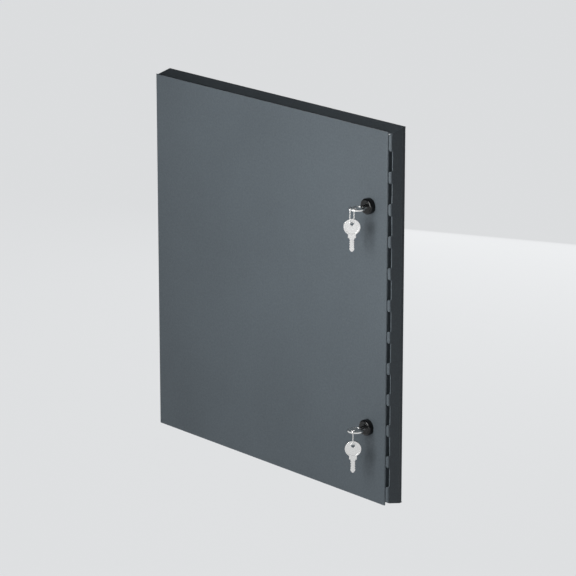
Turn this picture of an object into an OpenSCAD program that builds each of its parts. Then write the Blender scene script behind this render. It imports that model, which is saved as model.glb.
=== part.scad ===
// Solid locking rack door, twelve units high, hung on a continuous hinge in a shallow folded frame.
// Origin: centre of the mounting slots on the plane of the rack rails.
// +Y runs into the rack, +X to the closing side of the door, +Z up. All sizes are in millimetres.

/* [Frame] */
// Overall width of the frame across its side walls
frame_w = 482.6; // [440:0.1:520]
// Height of the opening that the frame covers, in rack units
rack_units = 12; // [10:1:14]
// Height of one rack unit
unit_h = 44.45; // [43:0.05:46]
// Amount by which the frame is shorter than its full count of units
height_trim = 0.8; // [0:0.1:3]
// Depth from the rack rails to the front of the door
frame_d = 29; // [27:0.5:45]
// Thickness of the frame sheet
frame_t = 1.5; // [1:0.1:2]
// Inside radius of the bends in the frame and the door
bend_r = 0.8; // [0.4:0.1:1.2]
// Width of the rear flanges that lie on the rack rails
rail_flange_w = 25.3; // [21:0.1:40]
// Height of the rear flanges of the top and bottom rails
cross_flange_h = 16; // [8:0.5:22]
// Rise of the top and bottom walls from front to rear
wall_rise = 6.3; // [2:0.1:8]
// Depth of the set-in rim behind the right side wall
rim_d = 6; // [4:0.1:8]
// Distance that the rim is set in from the right side wall
rim_step = 1.6; // [0.8:0.1:1.8]

/* [Castellated lip] */
// Width of the tabs that turn in at the front of the right side wall
lip_w = 4.5; // [3.5:0.1:8]
// Length of each notch between two tabs
notch_l = 28; // [20:0.5:34]
// Depth of each notch behind the front of the tabs
notch_d = 3.2; // [2.6:0.1:4]
// Corner radius at the root of each notch
notch_r = 1.6; // [0.8:0.1:2]
// Bevel on the corners of each tab
tab_bevel = 2; // [0.5:0.1:4]

/* [Mounting slots] */
// Distance from each side of the frame to its column of slots
slot_inset = 8.75; // [8.5:0.05:14]
// Width of each slot
slot_w = 7; // [5:0.1:8]
// End-to-end length of each slot
slot_l = 10.3; // [8.5:0.1:10.5]
// Height of the outer slots from the middle, in rack units
outer_slot_u = 5.5; // [3.5:0.5:5.5]
// Height of the inner slots from the middle, in rack units
inner_slot_u = 2.5; // [0.5:0.5:2.5]

/* [Door] */
// Thickness of the door sheet
door_t = 1.5; // [1:0.1:2]
// Depth of the return flanges on the two long edges of the door
door_flange = 13; // [11:0.1:14]
// Distance from the top of the frame down to the top of the door
top_gap = 4.7; // [2:0.1:5.5]
// Distance from the bottom of the frame up to the bottom of the door
bottom_gap = 1.7; // [0:0.1:5]
// Gap between the door and the tabs of the lip
side_gap = 2; // [1:0.1:4]
// Gap between the closed door and the rails behind it
rest_gap = 0.5; // [0.3:0.1:1]
// Gap between the ends of the door flanges and the rails
flange_gap = 1.4; // [0.6:0.1:4]

/* [Stiffeners] */
// Width of the channels along the top and bottom of the door
channel_w = 16; // [10:0.5:24]
// Depth of the channels
channel_d = 10; // [6:0.5:12]
// Thickness of the channel sheet
channel_t = 1.2; // [0.8:0.1:1.5]
// Distance from the ends of the door flanges to the channels
channel_inset = 3; // [1:0.5:10]
// Gap between the channels and the parts at either end of them
channel_gap = 1; // [0.5:0.1:3]

/* [Hinge] */
// Diameter of the hinge pin
pin_d = 3.5; // [3:0.1:4]
// Radial clearance between the pin and the knuckles
pin_clearance = 0.05; // [0.03:0.01:0.08]
// Thickness of the two hinge leaves
leaf_t = 1.2; // [1:0.05:1.3]
// Gap between one knuckle and the next
knuckle_gap = 0.3; // [0.2:0.05:0.6]
// Gap between the barrel and the sheet edges beside it
barrel_gap = 0.3; // [0.2:0.05:0.6]
// Distance that the hinge axis stands out from the side of the frame
axis_out = 0.3; // [0.2:0.05:0.6]
// Diameter of the heads that close the two ends of the pin
pin_head_d = 5; // [4.5:0.1:6]
// Thickness of those heads
pin_head_h = 1.2; // [0.8:0.1:2]
// Diameter of the rivets through the leaves
rivet_d = 3.2; // [2.4:0.1:3.6]
// Diameter of the rivet heads
rivet_head_d = 5.6; // [4.6:0.1:6]
// Height of the rivet heads
rivet_head_h = 1; // [0.6:0.1:1.2]
// Radial clearance between the rivets and their holes
rivet_clearance = 0.05; // [0.02:0.01:0.2]
// Distance between two rivets in a row, in rack units
rivet_pitch_u = 2; // [2:2:4]

/* [Locks] */
// Distance from the closing edge of the door to the lock axis
lock_inset = 34; // [32:0.5:40]
// Distance from the top of the door to the upper lock
upper_lock_drop = 107.6; // [90:0.1:140]
// Distance from the bottom of the door to the lower lock
lower_lock_rise = 105.6; // [90:0.1:140]
// Diameter of the lock head
head_d = 22.4; // [21:0.1:26]
// Height of the lock head in front of the door
head_h = 8; // [6:0.1:10]
// Radius of the rounded front edge of the lock head
head_round = 3; // [1:0.1:4]
// Diameter of the lock barrel
barrel_d = 19; // [18:0.1:20]
// Distance across the two flats of the lock barrel
barrel_flats = 16; // [15:0.1:17]
// Diameter of the turning plug
plug_d = 12; // [11:0.1:13]
// Diameter of the collar at the front of the plug
collar_d = 14; // [13.5:0.1:15]
// Thickness of the collar
collar_t = 1.4; // [0.8:0.1:2]
// Radial clearance between the plug and its bore
plug_clearance = 0.05; // [0.03:0.01:0.08]
// Clearance round the barrel where it passes through the door
barrel_clearance = 0.15; // [0.1:0.05:0.3]
// Radial clearance of the nut, the washer and the screw on their threads
thread_clearance = 0.05; // [0.02:0.01:0.1]
// Width across the flats of the nut that clamps the barrel
nut_af = 24; // [22:0.5:26]
// Thickness of the nut
nut_t = 3.5; // [2.5:0.1:5]
// Length of the cam from the lock axis to its tip
cam_l = 35; // [31:0.1:36]
// Width of the cam
cam_w = 13; // [11:0.1:14]
// Thickness of the cam
cam_t = 2; // [1.5:0.1:2.5]
// Amount by which the round end of the cam is wider than its arm, on each side
cam_boss = 1.5; // [0:0.1:2.5]
// Size of the square that drives the cam
drive_w = 7; // [6:0.1:7.5]
// Clearance round the drive square
drive_clearance = 0.05; // [0.03:0.01:0.1]
// Running gap between the end of the barrel and the cam
cam_gap = 0.3; // [0.2:0.05:0.5]
// Diameter of the washer under the cam screw
washer_d = 11; // [10:0.1:13]
// Thickness of the washer
washer_t = 1; // [0.6:0.1:1.5]
// Diameter of the cam screw
screw_d = 4; // [3:0.1:4.5]
// Diameter of the head of the cam screw
screw_head_d = 8; // [7:0.1:9.5]
// Height of the head of the cam screw
screw_head_h = 2.6; // [2:0.1:3]
// Length of the cam screw inside the plug
screw_grip = 6; // [4:0.1:6.5]

/* [Keepers] */
// Height of the brackets that the cams turn behind
keeper_h = 40; // [30:1:60]
// Reach of each bracket from the side wall
keeper_reach = 13.8; // [11:0.1:16]
// Length of the foot of each bracket along the side wall
keeper_foot = 12.7; // [9:0.1:13]
// Gap between the bracket and a closed cam
keeper_gap = 0.8; // [0.4:0.1:1.2]

/* [Keys] */
// Diameter of the bow of a key
bow_d = 22.4; // [20:0.1:24]
// Thickness of a key
key_t = 2; // [1.6:0.1:2.2]
// Length of the shoulder between the bow and the blade
shoulder_l = 4; // [2.5:0.1:6]
// Width of the shoulder
shoulder_w = 10.5; // [9:0.1:11.5]
// Length of the blade
blade_l = 19; // [16:0.1:20]
// Width of the blade
blade_w = 6.6; // [5.5:0.1:7.5]
// Depth of the cuts along the blade
cut_depth = 0.8; // [0.3:0.1:1.2]
// Diameter of the hole in the bow
bow_hole_d = 5; // [4.8:0.1:5.6]
// Distance from the middle of the bow to its hole
bow_hole_out = 4.5; // [3.5:0.1:5]
// Depth of the sunk field on each side of the bow
field_depth = 0.25; // [0.1:0.05:0.4]
// Clearance of the blade in its keyway
keyway_clearance = 0.15; // [0.1:0.05:0.3]

/* [Key links] */
// Diameter of the wire that joins two keys
wire_d = 1.3; // [1.2:0.1:1.4]
// Distance between the two straight sides of a link
link_w = 7.5; // [7.3:0.1:7.8]
// Distance from the bow of the upper key to the hole of the key below it
link_drop = 19; // [16:0.1:24]
// Height of the wire above the middle of the hole that hangs on it
hang_up = 0.8; // [0.7:0.05:0.85]
// Turn of the upper link about the vertical, in degrees
upper_link_yaw = 0; // [0:1:10]
// Turn of the lower link about the vertical, in degrees
lower_link_yaw = 45; // [35:1:50]
// Turn of the two hanging keys about the vertical, in degrees
spare_yaw = 45; // [40:1:48]

/* [Hidden] */

$fn = 64;
// Overlap that makes a cut pass clean through a face
through = 1;

charcoal = "#4a5257";
black = "#15181a";
nickel = "#d8dadc";
zinc = "#9fa3a6";

half_w = frame_w / 2;
half_h = (rack_units * unit_h - height_trim) / 2;
front_y = -frame_d;

// Splayed top and bottom walls: outer height of the wall at a depth y
wall_front_y = front_y + door_t + rest_gap;
wall_slope = wall_rise / -wall_front_y;
function wall_z(y) = half_h + y * wall_slope;
function wall_under(y) = wall_z(y) - frame_t * sqrt(1 + wall_slope * wall_slope);

// Door
door_right = half_w - lip_w - side_gap;
door_top = half_h - top_gap;
door_bottom = -half_h + bottom_gap;
door_back_y = front_y + door_t;
flange_back_y = front_y + door_flange;
flange_end_z = wall_under(wall_front_y) - flange_gap;

// Hinge
knuckle_h = unit_h / 2;
knuckle_count = 2 * (rack_units - 1);
hinge_h = knuckle_count * knuckle_h;
axis_x = -half_w - axis_out;
leaf_out_x = -half_w + door_t;
barrel_r = leaf_out_x + leaf_t - axis_x;
// The barrel stands a little proud of the leaf, so that the two blend without a knife edge
barrel_proud = 0.05;
axis_y = flange_back_y + barrel_gap + barrel_r + barrel_proud;
left_wall_y = axis_y + barrel_r + barrel_proud + barrel_gap;
leaf_in_x = leaf_out_x + leaf_t;
leaf_margin = 1.2;
door_leaf_y = door_back_y + bend_r + leaf_margin;
frame_leaf_y = -frame_t - bend_r;
rivet_count = 2 * floor((rack_units + 1) / (2 * rivet_pitch_u));
door_rivet_y = (door_leaf_y + flange_back_y) / 2;
frame_rivet_y = (left_wall_y + frame_leaf_y) / 2;

// Locks, with z = 0 on the front face of the door and +z towards the user
lock_x = door_right - lock_inset;
upper_lock_z = door_top - upper_lock_drop;
lower_lock_z = door_bottom + lower_lock_rise;
keeper_clear = 2.2;
keeper_back_y = flange_back_y + keeper_clear + frame_t;
cam_front = front_y - (keeper_back_y + keeper_gap);
cam_back = cam_front - cam_t;
barrel_back = cam_front + cam_gap;
// Room behind the end of the drive square, the key and the screw
end_room = 0.3;
drive_back = cam_back + end_room;
keyway_back = head_h - blade_l - end_room;
washer_back = cam_back - washer_t;
// Cross recess in the head of the screw
recess_l = screw_head_d * 0.65;
recess_w = 1;

// Keys, in the plane of the bow: origin at the middle of the bow, blade along -y
bow_r = bow_d / 2;
wire_r = wire_d / 2;
key_seat = bow_r + shoulder_l;
bow_z = head_h + key_seat;
hole_z = bow_z + bow_hole_out;
// Distance from the hole to the rim of the bow, straight out at a given turn
function rim_at(yaw) = -bow_hole_out * cos(yaw)
    + sqrt(pow(bow_hole_out * cos(yaw), 2) + bow_r * bow_r - bow_hole_out * bow_hole_out);
function web_mid(yaw) = (bow_hole_d / 2 + rim_at(yaw)) / 2;
link_end_r = link_w / 2;
// Rim and boss left standing round the sunk field of the bow, and the milled groove of the blade
field_rim = 1.8;
boss_rim = 1.2;
groove_depth = key_t / 5;
groove_w = blade_w / 6;
link_side = link_drop - hang_up - link_end_r;

// ---- Folded sheet ----
// Outline of a sheet folded along the points of its outer path. The sheet lies to the left of
// the path, t thick, and every bend has the inside radius r.
function heading(a, b) = atan2(b[1] - a[1], b[0] - a[0]);
function turn_at(p, i) = let (d = heading(p[i], p[i + 1]) - heading(p[i - 1], p[i]))
    d > 180 ? d - 360 : d < -180 ? d + 360 : d;
function arc(c, rad, a0, a1, n) =
    [for (i = [0:n]) c + rad * [cos(a0 + (a1 - a0) * i / n), sin(a0 + (a1 - a0) * i / n)]];
function bend(p, i, t, r, left) = let (
        h = heading(p[i - 1], p[i]),
        d = turn_at(p, i),
        s = sign(d),
        path_r = s > 0 ? r + t : r,
        left_r = s > 0 ? r : r + t,
        k = path_r * tan(abs(d) / 2),
        c = p[i] - k * [cos(h), sin(h)] + s * path_r * [-sin(h), cos(h)]
    ) arc(c, left ? left_r : path_r, h - 90 * s, h + d - 90 * s, ceil(abs(d) / 15));
function left_of(a, b, t) = t * [-sin(heading(a, b)), cos(heading(a, b))];
function side(p, t, r, left) = let (
        n = len(p) - 1,
        first = left ? p[0] + left_of(p[0], p[1], t) : p[0],
        last = left ? p[n] + left_of(p[n - 1], p[n], t) : p[n]
    ) [first, each [for (i = [1:n - 1]) each bend(p, i, t, r, left)], last];
function backwards(v) = [for (i = [len(v) - 1:-1:0]) v[i]];
module folded(p, t, r) {
    polygon(concat(side(p, t, r, false), backwards(side(p, t, r, true))));
}

// ---- Placing ----
// Extrudes an outline drawn in (Y, Z) along X, from x0 to x1
module along_x(x0, x1) {
    translate([x0, 0, 0])
        rotate([90, 0, 90])
            linear_extrude(x1 - x0) children();
}

// Extrudes an outline drawn in (X, Y) along Z, from z0 to z1
module along_z(z0, z1) {
    translate([0, 0, z0]) linear_extrude(z1 - z0) children();
}

// Puts a part on a lock axis, with its z axis pointing out of the door
module at_lock(z) {
    translate([lock_x, front_y, z]) rotate([90, 0, 0]) children();
}

// A cylinder along X, from x0 to x1
module rod_x(r, x0, x1, y, z) {
    translate([x0, y, z]) rotate([0, 90, 0]) cylinder(r = r, h = x1 - x0);
}

// ---- Frame ----
// Space between the top and bottom walls, from x0 to x1
module between_walls(x0, x1) {
    near = wall_under(2 * front_y);
    far = wall_under(-front_y);
    along_x(x0, x1)
        polygon([[2 * front_y, -near], [2 * front_y, near], [-front_y, far], [-front_y, -far]]);
}

// A jamb folded along a path drawn in (X, Y), with its two ends cut to meet the rails
module jamb(path) {
    intersection() {
        along_z(-half_h, half_h) folded(path, frame_t, bend_r);
        between_walls(-frame_w, frame_w);
    }
}

// Mounting slots of one column
module slots(x) {
    run = slot_l / 2 - slot_w / 2;
    for (u = [-outer_slot_u, -inner_slot_u, inner_slot_u, outer_slot_u])
        translate([x, 0, u * unit_h])
            rotate([90, 0, 0])
                translate([0, 0, -through])
                    linear_extrude(frame_t + 2 * through) {
                        square([2 * run, slot_w], center = true);
                        for (s = [-1, 1]) translate([s * run, 0]) circle(d = slot_w);
                    }
}

// One notch through the front of the right side wall, drawn in (Y, Z)
module notch_side() {
    root = front_y + notch_d;
    translate([front_y - through, -notch_l / 2]) square([notch_d + through - notch_r, notch_l]);
    translate([front_y, -notch_l / 2 + notch_r]) square([notch_d, notch_l - 2 * notch_r]);
    for (s = [-1, 1])
        translate([root - notch_r, s * (notch_l / 2 - notch_r)]) circle(r = notch_r);
}

// The same notch through the lip, drawn in (X, Z), wider at the free edge to bevel the tabs
module notch_front() {
    free_x = half_w - lip_w;
    polygon([
        [free_x - through, -notch_l / 2 - tab_bevel - through],
        [free_x + tab_bevel, -notch_l / 2],
        [free_x + tab_bevel, notch_l / 2],
        [free_x - through, notch_l / 2 + tab_bevel + through]
    ]);
}

module right_jamb() {
    color(charcoal)
        difference() {
            jamb([
                [half_w - lip_w, front_y],
                [half_w, front_y],
                [half_w, -rim_d - rim_step],
                [half_w - rim_step, -rim_d],
                [half_w - rim_step, 0],
                [half_w - rail_flange_w, 0]
            ]);
            slots(half_w - slot_inset);
            for (i = [0:rack_units - 2])
                translate([0, 0, (i - (rack_units - 2) / 2) * unit_h]) {
                    along_x(half_w - lip_w - through, half_w + through) notch_side();
                    translate([0, front_y + frame_t + bend_r, 0])
                        rotate([90, 0, 0])
                            linear_extrude(frame_t + bend_r + through) notch_front();
                }
        }
}

module left_jamb() {
    color(charcoal)
        difference() {
            jamb([
                [-half_w + rail_flange_w, 0],
                [-half_w, 0],
                [-half_w, left_wall_y]
            ]);
            slots(-half_w + slot_inset);
            rivet_holes(frame_rivet_y);
        }
}

// The wall of a rail lies over the ends of the jambs, and its rear flange stops between theirs
module top_rail() {
    color(charcoal)
        difference() {
            along_x(-half_w, half_w)
                folded([
                    [0, half_h - cross_flange_h],
                    [0, half_h],
                    [wall_front_y, wall_z(wall_front_y)]
                ], frame_t, bend_r);
            between_walls(-frame_w, -half_w + rail_flange_w);
            between_walls(half_w - rail_flange_w, frame_w);
            translate([half_w - rim_step, -rim_d, 0]) cube([frame_w, frame_d, frame_w]);
        }
}

module bottom_rail() {
    mirror([0, 0, 1]) top_rail();
}

module keeper(z) {
    color(charcoal)
        along_z(z - keeper_h / 2, z + keeper_h / 2)
            folded([
                [half_w - frame_t, keeper_back_y - keeper_foot],
                [half_w - frame_t, keeper_back_y],
                [half_w - frame_t - keeper_reach, keeper_back_y]
            ], frame_t, bend_r);
}

module upper_keeper() {
    keeper(upper_lock_z);
}

module lower_keeper() {
    keeper(lower_lock_z);
}

// ---- Door ----
module door_panel() {
    color(charcoal)
        difference() {
            along_z(door_bottom, door_top)
                folded([
                    [-half_w, flange_back_y],
                    [-half_w, front_y],
                    [door_right, front_y],
                    [door_right, flange_back_y]
                ], door_t, bend_r);
            for (s = [0, 1])
                mirror([0, 0, s])
                    translate([-frame_w, door_back_y, flange_end_z])
                        cube([2 * frame_w, frame_d, half_h]);
            for (z = [upper_lock_z, lower_lock_z])
                at_lock(z)
                    translate([0, 0, -door_t - through])
                        linear_extrude(door_t + 2 * through) barrel_outline(barrel_clearance);
            rivet_holes(door_rivet_y);
        }
}

module top_stiffener() {
    top = flange_end_z - channel_inset;
    color(zinc)
        along_x(leaf_in_x + rivet_head_h + channel_gap, door_right - door_t - channel_gap)
            folded([
                [door_back_y + channel_d, top],
                [door_back_y, top],
                [door_back_y, top - channel_w],
                [door_back_y + channel_d, top - channel_w]
            ], channel_t, bend_r);
}

module bottom_stiffener() {
    mirror([0, 0, 1]) top_stiffener();
}

// ---- Hinge ----
function rivet_z(i) = (i - (rivet_count - 1) / 2) * rivet_pitch_u * unit_h;

module rivet_holes(y) {
    for (i = [0:rivet_count - 1])
        rod_x(rivet_d / 2 + rivet_clearance, -half_w - through, leaf_in_x + through, y, rivet_z(i));
}

// A row of rivets through a sheet and the leaf behind it
module rivets(y) {
    color(zinc)
        for (i = [0:rivet_count - 1]) {
            rod_x(rivet_d / 2, -half_w, leaf_in_x, y, rivet_z(i));
            translate([-half_w, y, rivet_z(i)]) rotate([0, -90, 0]) rivet_head();
            translate([leaf_in_x, y, rivet_z(i)]) rotate([0, 90, 0]) rivet_head();
        }
}

// Low domed head, standing on its flat face
module rivet_head() {
    dome_r = (pow(rivet_head_d / 2, 2) + rivet_head_h * rivet_head_h) / (2 * rivet_head_h);
    intersection() {
        translate([0, 0, rivet_head_h - dome_r]) sphere(r = dome_r);
        cylinder(d = rivet_head_d, h = rivet_head_h);
    }
}

// One leaf of the hinge: a plate from the barrel out to plate_y, and every second knuckle
module hinge_leaf(plate_y, sheet_y, first) {
    low = -hinge_h / 2;
    color(zinc)
        difference() {
            union() {
                translate([leaf_out_x, min(plate_y, sheet_y), low])
                    cube([leaf_t, abs(plate_y - sheet_y), hinge_h]);
                for (i = [first:2:knuckle_count - 1])
                    translate([0, 0, low + i * knuckle_h + knuckle_gap / 2]) {
                        translate([axis_x, axis_y, 0])
                            cylinder(r = barrel_r + barrel_proud, h = knuckle_h - knuckle_gap);
                        translate([leaf_out_x, min(sheet_y, axis_y), 0])
                            cube([leaf_t, abs(sheet_y - axis_y), knuckle_h - knuckle_gap]);
                    }
            }
            translate([axis_x, axis_y, low - through])
                cylinder(r = pin_d / 2 + pin_clearance, h = hinge_h + 2 * through);
            rivet_holes((plate_y + sheet_y) / 2);
        }
}

module door_hinge_leaf() {
    hinge_leaf(door_leaf_y, flange_back_y, 0);
}

module frame_hinge_leaf() {
    hinge_leaf(frame_leaf_y, left_wall_y, 1);
}

module door_leaf_rivets() {
    rivets(door_rivet_y);
}

module frame_leaf_rivets() {
    rivets(frame_rivet_y);
}

module hinge_pin() {
    color(zinc)
        translate([axis_x, axis_y, 0]) {
            cylinder(d = pin_d, h = hinge_h, center = true);
            for (s = [0, 1])
                mirror([0, 0, s])
                    translate([0, 0, hinge_h / 2]) cylinder(d = pin_head_d, h = pin_head_h);
        }
}

// ---- Locks ----
// Round barrel with two flats, grown by c all round
module barrel_outline(c) {
    intersection() {
        circle(d = barrel_d + 2 * c);
        square([barrel_flats + 2 * c, barrel_d + 2 * c + through], center = true);
    }
}

module lock_body(z) {
    core = head_d / 2 - head_round;
    color(black)
        at_lock(z)
            difference() {
                union() {
                    rotate_extrude() {
                        square([core, head_h]);
                        square([head_d / 2, head_h - head_round]);
                        intersection() {
                            translate([core, head_h - head_round]) circle(r = head_round);
                            square([head_d, head_h]);
                        }
                    }
                    translate([0, 0, barrel_back])
                        linear_extrude(-barrel_back) barrel_outline(0);
                }
                translate([0, 0, barrel_back - through])
                    cylinder(r = plug_d / 2 + plug_clearance, h = head_h - barrel_back + 2 * through);
                translate([0, 0, head_h - collar_t])
                    cylinder(r = collar_d / 2 + plug_clearance, h = collar_t + through);
            }
}

module lock_nut(z) {
    color(zinc)
        at_lock(z)
            translate([0, 0, -door_t - nut_t])
                difference() {
                    cylinder(d = nut_af / cos(30), h = nut_t, $fn = 6);
                    translate([0, 0, -through])
                        cylinder(r = barrel_d / 2 + thread_clearance, h = nut_t + 2 * through);
                }
}

module lock_plug(z) {
    keyway_w = blade_w + 2 * keyway_clearance;
    keyway_t = key_t + 2 * keyway_clearance;
    color(zinc)
        at_lock(z)
            difference() {
                union() {
                    translate([0, 0, cam_front]) cylinder(d = plug_d, h = head_h - cam_front);
                    translate([0, 0, head_h - collar_t]) cylinder(d = collar_d, h = collar_t);
                    translate([-drive_w / 2, -drive_w / 2, drive_back])
                        cube([drive_w, drive_w, cam_front - drive_back + through]);
                }
                translate([-keyway_w / 2, -keyway_t / 2, keyway_back])
                    cube([keyway_w, keyway_t, head_h - keyway_back + through]);
                translate([0, 0, drive_back - through])
                    cylinder(r = screw_d / 2 + thread_clearance, h = screw_grip + through);
            }
}

// The cam hangs straight down while the lock is open
module cam(z) {
    hole_w = drive_w + 2 * drive_clearance;
    color(zinc)
        at_lock(z)
            translate([0, 0, cam_back])
                linear_extrude(cam_t)
                    difference() {
                        union() {
                            circle(d = cam_w + 2 * cam_boss);
                            translate([0, -cam_l + cam_w / 2]) circle(d = cam_w);
                            translate([-cam_w / 2, -cam_l + cam_w / 2])
                                square([cam_w, cam_l - cam_w / 2]);
                        }
                        square([hole_w, hole_w], center = true);
                    }
}

module cam_washer(z) {
    color(zinc)
        at_lock(z)
            translate([0, 0, washer_back])
                difference() {
                    cylinder(d = washer_d, h = washer_t);
                    translate([0, 0, -through])
                        cylinder(r = screw_d / 2 + thread_clearance, h = washer_t + 2 * through);
                }
}

module cam_screw(z) {
    head_back = washer_back - screw_head_h;
    screw_end = drive_back + screw_grip - end_room;
    color(zinc)
        at_lock(z)
            difference() {
                union() {
                    translate([0, 0, head_back]) cylinder(d = screw_head_d, h = screw_head_h);
                    translate([0, 0, head_back + screw_head_h / 2])
                        cylinder(d = screw_d, h = screw_end - head_back - screw_head_h / 2);
                }
                for (a = [0, 90])
                    rotate(a)
                        translate([-recess_l / 2, -recess_w / 2, head_back - through])
                            cube([recess_l, recess_w, screw_head_h / 2 + through]);
            }
}

// ---- Keys ----
// Outline of a key: round bow, shoulder, and a blade cut on both edges
module key_outline() {
    half = blade_w / 2;
    tip = -key_seat - blade_l;
    step = blade_l / 6;
    difference() {
        union() {
            circle(r = bow_r);
            translate([-shoulder_w / 2, -key_seat]) square([shoulder_w, key_seat]);
            polygon([
                [-half, -key_seat],
                [-half, tip + half],
                [-half / 3, tip],
                [half / 3, tip],
                [half, tip + half],
                [half, -key_seat]
            ]);
        }
        translate([0, bow_hole_out]) circle(d = bow_hole_d);
        for (s = [-1, 1], i = [1:4])
            translate([s * half, -key_seat - i * step])
                polygon([
                    [-s * cut_depth, -step / 5],
                    [-s * cut_depth, step / 5],
                    [s * through, step / 2 + (i % 2) * step / 6],
                    [s * through, -step / 2]
                ]);
    }
}

// A key lying in the plane z = 0, with a sunk field round the hole on each side of its bow
module key_solid() {
    color(nickel)
        difference() {
            translate([0, 0, -key_t / 2]) linear_extrude(key_t) key_outline();
            for (s = [0, 1])
                mirror([0, 0, s])
                    translate([0, 0, key_t / 2 - field_depth])
                        linear_extrude(field_depth + through)
                            difference() {
                                circle(r = bow_r - field_rim);
                                translate([0, bow_hole_out]) circle(r = bow_hole_d / 2 + boss_rim);
                            }
            for (s = [-1, 1])
                translate([s * groove_w, -key_seat - blade_l / 2, s * key_t / 2])
                    cube([groove_w, blade_l + 2 * through, 2 * groove_depth], center = true);
        }
}

// The key in the lock lies level, with its shoulder on the face of the plug
module key(z) {
    at_lock(z)
        translate([0, 0, bow_z])
            rotate([90, 0, 0]) key_solid();
}

// Puts a part where a link hangs: z = 0 on the plane of the bow, y towards the lock
module at_link(z, yaw) {
    translate([lock_x, front_y - hole_z, z])
        rotate([0, 0, yaw])
            translate([0, -web_mid(yaw), 0]) children();
}

// Loop of wire through the holes of two keys, in the plane x = 0
module link(z, yaw) {
    color(nickel)
        at_link(z, yaw) {
            for (s = [-1, 1])
                translate([0, s * link_end_r, -link_side]) cylinder(d = wire_d, h = link_side);
            rotate([90, 0, 90]) half_ring();
            translate([0, 0, -link_side]) rotate([-90, 0, 90]) half_ring();
        }
}

module half_ring() {
    rotate_extrude(angle = 180) translate([link_end_r, 0]) circle(d = wire_d, $fn = 32);
}

module spare_key(z, yaw) {
    at_link(z, yaw)
        translate([0, 0, -link_drop - bow_hole_out])
            rotate([0, 0, spare_yaw - yaw])
                rotate([90, 0, 0]) key_solid();
}

module upper_lock_body() { lock_body(upper_lock_z); }
module upper_lock_nut() { lock_nut(upper_lock_z); }
module upper_lock_plug() { lock_plug(upper_lock_z); }
module upper_cam() { cam(upper_lock_z); }
module upper_cam_washer() { cam_washer(upper_lock_z); }
module upper_cam_screw() { cam_screw(upper_lock_z); }
module upper_key() { key(upper_lock_z); }
module upper_link() { link(upper_lock_z, upper_link_yaw); }
module upper_spare_key() { spare_key(upper_lock_z, upper_link_yaw); }

module lower_lock_body() { lock_body(lower_lock_z); }
module lower_lock_nut() { lock_nut(lower_lock_z); }
module lower_lock_plug() { lock_plug(lower_lock_z); }
module lower_cam() { cam(lower_lock_z); }
module lower_cam_washer() { cam_washer(lower_lock_z); }
module lower_cam_screw() { cam_screw(lower_lock_z); }
module lower_key() { key(lower_lock_z); }
module lower_link() { link(lower_lock_z, lower_link_yaw); }
module lower_spare_key() { spare_key(lower_lock_z, lower_link_yaw); }

door_panel();
top_stiffener();
bottom_stiffener();
door_hinge_leaf();
door_leaf_rivets();
right_jamb();
left_jamb();
top_rail();
bottom_rail();
upper_keeper();
lower_keeper();
frame_hinge_leaf();
frame_leaf_rivets();
hinge_pin();
upper_lock_body();
upper_lock_nut();
upper_lock_plug();
upper_cam();
upper_cam_washer();
upper_cam_screw();
upper_key();
upper_link();
upper_spare_key();
lower_lock_body();
lower_lock_nut();
lower_lock_plug();
lower_cam();
lower_cam_washer();
lower_cam_screw();
lower_key();
lower_link();
lower_spare_key();
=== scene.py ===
"""Finishes, welds and studio for a locking rack door.

The door is a folded frame, a hinged sheet door and two cam locks.
"""

import math

import bmesh
import bpy
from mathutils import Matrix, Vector, noise


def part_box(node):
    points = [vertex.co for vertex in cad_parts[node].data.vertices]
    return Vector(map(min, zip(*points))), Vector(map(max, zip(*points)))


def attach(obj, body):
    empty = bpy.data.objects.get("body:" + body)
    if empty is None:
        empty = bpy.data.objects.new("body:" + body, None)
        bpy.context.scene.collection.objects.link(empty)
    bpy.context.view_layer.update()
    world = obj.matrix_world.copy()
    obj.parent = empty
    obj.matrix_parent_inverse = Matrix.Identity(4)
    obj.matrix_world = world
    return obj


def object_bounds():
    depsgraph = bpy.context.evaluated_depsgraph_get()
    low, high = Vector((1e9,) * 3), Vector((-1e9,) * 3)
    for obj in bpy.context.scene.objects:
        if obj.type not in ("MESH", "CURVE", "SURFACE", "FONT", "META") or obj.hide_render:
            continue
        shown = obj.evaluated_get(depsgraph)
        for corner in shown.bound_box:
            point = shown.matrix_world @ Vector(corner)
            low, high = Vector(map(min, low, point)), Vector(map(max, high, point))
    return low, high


MM = 0.001


# ---------------------------------------------------------------- shader maths


class Value:
    """A shader socket that takes part in Python expressions."""

    def __init__(self, tree, socket):
        self.tree = tree
        self.socket = socket

    def math(self, operation, *others, clamp=False):
        node = self.tree.nodes.new("ShaderNodeMath")
        node.operation = operation
        node.use_clamp = clamp
        for slot, value in zip(node.inputs, (self, *others)):
            feed(self.tree, slot, value)
        return Value(self.tree, node.outputs[0])

    def __add__(self, other):
        return self.math("ADD", other)

    def __radd__(self, other):
        return self.math("ADD", other)

    def __sub__(self, other):
        return self.math("SUBTRACT", other)

    def __rsub__(self, other):
        return (self * -1.0).math("ADD", other)

    def __mul__(self, other):
        return self.math("MULTIPLY", other)

    def __truediv__(self, other):
        return self.math("DIVIDE", other)

    def clamped(self):
        return self.math("ADD", 0.0, clamp=True)

    def between(self, low, high):
        """0 below low, 1 above high, and a straight ramp between them."""
        return ((self - low) / (high - low)).clamped()

    def larger(self, other):
        return self.math("MAXIMUM", other)


def feed(tree, slot, value):
    """Puts a number, a colour or a link into a socket."""
    if isinstance(value, Value):
        tree.links.new(value.socket, slot)
    elif isinstance(value, bpy.types.NodeSocket):
        tree.links.new(value, slot)
    else:
        slot.default_value = value


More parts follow.
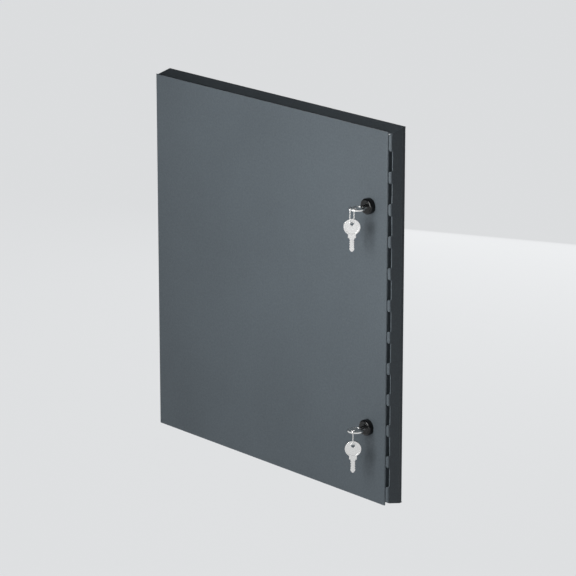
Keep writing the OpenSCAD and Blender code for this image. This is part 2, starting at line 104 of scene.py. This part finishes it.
class Shader:
    """The node tree of a material or of the world, with short ways to add to it."""

    def __init__(self, tree):
        self.tree = tree
        tree.nodes.clear()

    def node(self, kind, settings=None, **inputs):
        """Adds one node. Settings come first, and inputs are named with _ for a space."""
        node = self.tree.nodes.new("ShaderNode" + kind)
        for name, value in (settings or {}).items():
            setattr(node, name, value)
        for name, value in inputs.items():
            feed(self.tree, node.inputs[name.replace("_", " ")], value)
        return node

    def value(self, node, output):
        return Value(self.tree, node.outputs[output])

    def place(self):
        """Position on the piece, in metres."""
        return self.node("TexCoord").outputs["Object"]

    def stretched(self, scale):
        """Position on the piece, squeezed or stretched along each axis."""
        node = self.node("VectorMath", {"operation": "MULTIPLY"})
        feed(self.tree, node.inputs[0], self.place())
        feed(self.tree, node.inputs[1], scale)
        return node.outputs[0]

    def speckle(self, size, detail=2.0, roughness=0.5, place=None):
        """Noise from 0 to 1 whose spots are about size metres across."""
        node = self.node(
            "TexNoise",
            Vector=place or self.place(),
            Scale=1 / size,
            Detail=detail,
            Roughness=roughness,
        )
        return self.value(node, "Fac")

    def mix(self, factor, first, second):
        """A colour between first and second."""
        node = self.node("Mix", {"data_type": "RGBA"})
        feed(self.tree, node.inputs[0], factor)
        feed(self.tree, node.inputs[6], first)
        feed(self.tree, node.inputs[7], second)
        return self.value(node, 2)

    def edge_wear(self, radius, spread):
        """0 on the flats and up to 1 on outer and inner edges, broken up by speckle."""
        softened = self.node("Bevel", {"samples": 6}, Radius=radius)
        true_normal = self.node("NewGeometry").outputs["Normal"]
        dot = self.node("VectorMath", {"operation": "DOT_PRODUCT"})
        feed(self.tree, dot.inputs[0], softened.outputs[0])
        feed(self.tree, dot.inputs[1], true_normal)
        bend = (1.0 - self.value(dot, "Value")).between(0.01, 0.18)
        return (bend * self.speckle(spread, 3.0, 0.65).between(0.42, 0.62)).clamped()

    def relief(self, height, strength, depth, edge=0.0):
        """Bump, over edges that are rounded by edge metres."""
        node = self.node("Bump", Strength=strength, Distance=depth, Height=height)
        if edge:
            rounded = self.node("Bevel", {"samples": 6}, Radius=edge)
            feed(self.tree, node.inputs["Normal"], rounded.outputs[0])
        return self.value(node, "Normal")

    def surface(self, **sockets):
        """Ends the material in one principled shader."""
        shader = self.node("BsdfPrincipled", **sockets)
        self.node("OutputMaterial", Surface=shader.outputs[0])


def new_material(name):
    material = bpy.data.materials.new(name)
    material.use_nodes = True
    return material, Shader(material.node_tree)


def grey(level, tint=(1.0, 1.0, 1.0)):
    return (level * tint[0], level * tint[1], level * tint[2], 1.0)


# ---------------------------------------------------------------- finishes

CHARCOAL = (0.82, 1.00, 1.14)
PALE = (0.985, 1.0, 1.015)


def powder_coat():
    """Fine textured charcoal powder coat, rubbed a little on its edges."""
    material, s = new_material("powder_coat")
    grain = s.speckle(0.9 * MM, 3.0, 0.6)
    orange_peel = s.speckle(2.6 * MM, 2.0, 0.5)
    cloud = s.speckle(160 * MM, 3.0, 0.55)
    wear = s.edge_wear(0.7 * MM, 9 * MM)
    tone = (grain * 0.45 + orange_peel * 0.4 + cloud * 0.25).between(0.36, 0.74)
    paint = s.mix(tone, grey(0.082, CHARCOAL), grey(0.132, CHARCOAL))
    colour = s.mix(wear * 0.35, paint, grey(0.24, (0.97, 1.0, 1.03)))
    s.surface(
        Base_Color=colour,
        Roughness=(0.50 + grain * 0.14 - wear * 0.10).clamped(),
        Normal=s.relief(grain * 0.55 + orange_peel * 0.45, 0.5, 0.16 * MM, 0.45 * MM),
        Specular_IOR_Level=0.42,
    )
    return material


def zinc_plate():
    """Clear zinc plate on steel, with faint drawing marks and dull patches."""
    material, s = new_material("zinc_plate")
    drawn = s.speckle(0.7 * MM, 3.0, 0.6, s.stretched((1.0, 1.0, 0.05)))
    patches = s.speckle(11 * MM, 3.0, 0.6)
    wear = s.edge_wear(0.3 * MM, 3 * MM)
    plate = s.mix(patches, grey(0.42, (0.98, 1.0, 1.02)), grey(0.60, (0.99, 1.0, 1.0)))
    s.surface(
        Base_Color=s.mix(wear * 0.5, plate, grey(0.78)),
        Metallic=1.0,
        Roughness=(0.30 + patches * 0.14 + drawn * 0.10).clamped(),
        Normal=s.relief(drawn, 0.25, 0.03 * MM, 0.2 * MM),
    )
    return material


def leaf_steel():
    """Plated strip of the hinge, rolled along its length and wiped with oil in patches."""
    material, s = new_material("leaf_steel")
    rolled = s.speckle(0.5 * MM, 3.0, 0.6, s.stretched((1.0, 1.0, 0.02)))
    stain = s.speckle(24 * MM, 3.0, 0.6)
    wear = s.edge_wear(0.35 * MM, 4 * MM)
    steel = s.mix(stain, grey(0.40, (0.98, 1.0, 1.02)), grey(0.55))
    s.surface(
        Base_Color=s.mix(wear * 0.5, steel, grey(0.74)),
        Metallic=1.0,
        Roughness=(0.26 + rolled * 0.16 + stain * 0.10).clamped(),
        Normal=s.relief(rolled, 0.2, 0.03 * MM, 0.25 * MM),
    )
    return material


def black_gloss():
    """Glossy black lock housing, with the thread of its barrel behind the door."""
    material, s = new_material("black_gloss")
    peel = s.speckle(3.2 * MM, 2.0, 0.5)
    scuff = s.speckle(0.8 * MM, 4.0, 0.7, s.stretched((1.0, 1.0, 0.15))).between(0.60, 0.74)
    wear = s.edge_wear(0.5 * MM, 3 * MM)
    door_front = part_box("door_panel")[0][1]
    thread_start = door_front + 1.6 * MM
    thread_full = door_front + 2.2 * MM
    thread_pitch = 1.0 * MM
    depth = s.value(s.node("SeparateXYZ", Vector=s.place()), "Y")
    turns = (depth * (2 * math.pi / thread_pitch)).math("SINE")
    height = peel * 0.12 + turns * depth.between(thread_start, thread_full)
    rubbed = (wear * 0.30 + scuff * 0.05).clamped()
    s.surface(
        Base_Color=s.mix(rubbed, grey(0.006, (0.95, 1.0, 1.08)), grey(0.11)),
        Roughness=(0.12 + scuff * 0.22 + wear * 0.12).clamped(),
        Normal=s.relief(height, 0.5, 0.10 * MM, 0.4 * MM),
        Specular_IOR_Level=0.30,
        Coat_Weight=0.12,
        Coat_Roughness=0.06,
    )
    return material


def key_nickel():
    """Bright nickel plate with handling scratches in two directions."""
    material, s = new_material("key_nickel")
    along = s.speckle(0.35 * MM, 3.0, 0.7, s.stretched((1.0, 0.9, 0.08)))
    across = s.speckle(0.4 * MM, 3.0, 0.7, s.stretched((0.1, 0.12, 1.0)))
    haze = s.speckle(5 * MM, 3.0, 0.6)
    wear = s.edge_wear(0.3 * MM, 2 * MM)
    scratch = along.between(0.60, 0.70).larger(across.between(0.62, 0.72))
    plate = s.mix(haze, grey(0.828, (1.0, 0.99, 0.97)), grey(0.90, (1.0, 1.0, 0.99)))
    s.surface(
        Base_Color=s.mix(wear * 0.4, plate, grey(0.95)),
        Metallic=1.0,
        Roughness=(0.22 + haze * 0.08 + scratch * 0.12).clamped(),
        Normal=s.relief(along * 0.5 + across * 0.5, 0.12, 0.02 * MM, 0.3 * MM),
    )
    return material


def weld_bead_finish():
    """Rippled weld under the same charcoal paint."""
    material, s = new_material("painted_weld")
    ripple = s.speckle(1.4 * MM, 3.0, 0.6)
    s.surface(
        Base_Color=s.mix(ripple, grey(0.070, CHARCOAL), grey(0.125, CHARCOAL)),
        Roughness=(0.42 + ripple * 0.2).clamped(),
        Normal=s.relief(ripple, 0.6, 0.2 * MM),
    )
    return material


def finish_of(node, finishes):
    """The finish that a node's name calls for. Folded sheet is painted."""
    if node.endswith(("lock_body", "lock_plug")):
        return finishes["housing"]
    if node.endswith(("_key", "_link")):
        return finishes["key"]
    if node.endswith("hinge_leaf"):
        return finishes["leaf"]
    if node.endswith(("rivets", "pin", "nut", "cam", "washer", "screw")):
        return finishes["zinc"]
    return finishes["paint"]


def dress(frame, finishes):
    """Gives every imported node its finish."""
    for name, piece in frame["nodes"].items():
        for slot in piece.material_slots:
            slot.material = finish_of(name, finishes)


# ---------------------------------------------------------------- welds


def bead(name, start, end, radius, material, body, seed):
    """A weld bead from start to end: a tube whose radius ripples, closed at both ends."""
    sides = 10
    ring_step = 0.7 * MM
    fewest_rings = 8
    ripple_turn = 2.1
    ripple_depth = 0.13
    rough_step = 0.31
    rough_depth = 0.18
    start, end = Vector(start), Vector(end)
    run = end - start
    rings = max(fewest_rings, int(run.length / ring_step))
    side = run.orthogonal().normalized()
    other = run.normalized().cross(side)
    mesh = bmesh.new()
    loops = []
    for i in range(rings + 1):
        t = i / rings
        swell = math.sin(math.pi * min(max(t, 0.04), 0.96)) ** 0.25
        roughness = noise.noise(Vector((i * rough_step, seed, 0.0)))
        r = radius * swell * (1 + ripple_depth * math.sin(i * ripple_turn) + rough_depth * roughness)
        centre = start + run * t
        ring = []
        for k in range(sides):
            a = 2 * math.pi * k / sides
            ring.append(mesh.verts.new(centre + side * r * math.cos(a) + other * r * math.sin(a)))
        loops.append(ring)
    for first, second in zip(loops, loops[1:]):
        for k in range(sides):
            after = (k + 1) % sides
            mesh.faces.new((first[k], first[after], second[after], second[k]))
    mesh.faces.new(list(reversed(loops[0])))
    mesh.faces.new(loops[-1])
    data = bpy.data.meshes.new(name)
    mesh.to_mesh(data)
    mesh.free()
    for face in data.polygons:
        face.use_smooth = True
    data.materials.append(material)
    piece = bpy.data.objects.new(name, data)
    bpy.context.scene.collection.objects.link(piece)
    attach(piece, body)


def frame_welds(material):
    """Beads where the rails meet the jambs, facing the door, and above and below the keepers."""
    radius = 0.9 * MM
    sheet_face = -1.5 * MM
    clear_of_tip = 1.5 * MM
    clear_of_bend = 3.5 * MM
    keeper_edge = 1.5 * MM
    keeper_sink = 0.3 * MM
    for rail in ("top_rail", "bottom_rail"):
        low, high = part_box(rail)
        up = 1 if rail == "top_rail" else -1
        tip = low[2] if up > 0 else high[2]
        wall = high[2] if up > 0 else low[2]
        for jamb in ("left_jamb", "right_jamb"):
            corner_low, corner_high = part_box(jamb)
            seam_x = corner_high[0] if jamb == "left_jamb" else corner_low[0]
            name = "weld_" + rail.split("_")[0] + "_" + jamb.split("_")[0]
            start = (seam_x, sheet_face, tip + up * clear_of_tip)
            end = (seam_x, sheet_face, wall - up * clear_of_bend)
            seed = len(name) + up
            bead(name, start, end, radius, material, "frame", seed)
    for keeper in ("upper_keeper", "lower_keeper"):
        low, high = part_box(keeper)
        seam_x = high[0] - keeper_sink
        for word, z in (("top", high[2]), ("bottom", low[2])):
            name = "weld_" + keeper + "_" + word
            start = (seam_x, low[1] + keeper_edge, z)
            end = (seam_x, high[1] - keeper_edge, z)
            seed = z * 50
            bead(name, start, end, radius, material, "frame", seed)


# ---------------------------------------------------------------- studio

STUDIO_PALE = 0.80
FLOOR_DROP = 0.45
FLOOR_HALF_WIDTH = 30.0
FLOOR_GLOW = 0.9
DOOR_MIDDLE = (0.00726, 0.0, -0.00925)


def floor(centre, level):
    """Wide floor, pale to the eye and in reflections, that keeps a faint shadow."""
    mesh = bmesh.new()
    bmesh.ops.create_grid(mesh, x_segments=1, y_segments=1, size=FLOOR_HALF_WIDTH)
    data = bpy.data.meshes.new("floor")
    mesh.to_mesh(data)
    mesh.free()
    material, s = new_material("studio_floor")
    matte = s.node("BsdfDiffuse", Color=grey(STUDIO_PALE, PALE))
    bright = s.node("Emission", Color=grey(STUDIO_PALE, PALE), Strength=1.0)
    lit = s.node("MixShader", Fac=FLOOR_GLOW)
    s.tree.links.new(matte.outputs[0], lit.inputs[1])
    s.tree.links.new(bright.outputs[0], lit.inputs[2])
    path = s.node("LightPath")
    seen = s.value(path, "Is Camera Ray").larger(s.value(path, "Is Glossy Ray"))
    shown = s.node("MixShader", Fac=seen)
    s.tree.links.new(matte.outputs[0], shown.inputs[1])
    s.tree.links.new(lit.outputs[0], shown.inputs[2])
    s.node("OutputMaterial", Surface=shown.outputs[0])
    data.materials.append(material)
    piece = bpy.data.objects.new("floor", data)
    piece.location = (centre.x, centre.y, level)
    bpy.context.scene.collection.objects.link(piece)


def softbox(name, place, target, width, height, power):
    """Rectangular studio lamp that looks at target."""
    data = bpy.data.lights.new(name, "AREA")
    data.shape = "RECTANGLE"
    data.size = width
    data.size_y = height
    data.energy = power
    lamp = bpy.data.objects.new(name, data)
    lamp.location = place
    lamp.rotation_euler = (Vector(target) - Vector(place)).to_track_quat("-Z", "Y").to_euler()
    lamp.visible_camera = False
    bpy.context.scene.collection.objects.link(lamp)


def room():
    """Pale to the eye, with soft light from the sides and a dark ceiling."""
    world = bpy.data.worlds.new("room")
    bpy.context.scene.world = world
    world.use_nodes = True
    s = Shader(world.node_tree)
    direction = s.node("SeparateXYZ", Vector=s.node("TexCoord").outputs["Generated"])
    ceiling = s.value(direction, "Z").between(0.05, 0.45)
    seen = s.value(s.node("LightPath"), "Is Camera Ray")
    walls = s.mix(ceiling, grey(0.17, (0.95, 1.0, 1.04)), grey(0.02))
    shown = s.mix(seen, walls, grey(STUDIO_PALE, PALE))
    background = s.node("Background", Color=shown, Strength=1.0)
    s.node("OutputWorld", Surface=background.outputs[0])


def lights(centre):
    """A near key lamp for the panel, one lamp for the back and one for the closing side."""
    key_place = centre + Vector((0.18, -0.88, 0.30))
    key_target = centre + Vector((0.10, 0.0, 0.10))
    rear_place = centre + Vector((-1.3, 2.4, 0.20))
    side_place = centre + Vector((2.7, -2.8, 0.35))
    softbox("key", key_place, key_target, width=0.6, height=0.6, power=8.6)
    softbox("rear_fill", rear_place, centre, width=1.8, height=1.8, power=34.0)
    softbox("front_fill", side_place, centre, width=2.0, height=1.8, power=9.0)


def camera(centre):
    """Seen from the closing side and a little above, through a long lens."""
    azimuth = math.radians(47.55)
    elevation = math.radians(16.56)
    distance = 4.416
    focal_length = 196.6
    data = bpy.data.cameras.new("camera")
    data.lens = focal_length
    data.sensor_width = 36.0
    data.clip_end = 100.0
    eye = bpy.data.objects.new("camera", data)
    away = Vector((
        math.sin(azimuth) * math.cos(elevation),
        -math.cos(azimuth) * math.cos(elevation),
        math.sin(elevation),
    ))
    eye.location = centre + away * distance
    eye.rotation_euler = (-away).to_track_quat("-Z", "Y").to_euler()
    bpy.context.scene.collection.objects.link(eye)
    bpy.context.scene.camera = eye


# ---------------------------------------------------------------- the part

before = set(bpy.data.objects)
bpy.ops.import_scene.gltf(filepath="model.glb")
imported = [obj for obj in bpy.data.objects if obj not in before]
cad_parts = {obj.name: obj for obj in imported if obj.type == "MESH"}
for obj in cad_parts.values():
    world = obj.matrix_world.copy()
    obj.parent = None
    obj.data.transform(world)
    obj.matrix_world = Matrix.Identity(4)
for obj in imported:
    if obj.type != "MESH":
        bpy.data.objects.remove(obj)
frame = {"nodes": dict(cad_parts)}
packed_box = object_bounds()

finishes = {
    "paint": powder_coat(),
    "zinc": zinc_plate(),
    "leaf": leaf_steel(),
    "housing": black_gloss(),
    "key": key_nickel(),
}
dress(frame, finishes)
frame_welds(weld_bead_finish())

middle = Vector(DOOR_MIDDLE)
bottom = packed_box[0][2]
floor(middle, bottom - FLOOR_DROP)
room()
lights(middle)
camera(middle)

bpy.context.scene.view_settings.view_transform = "Standard"
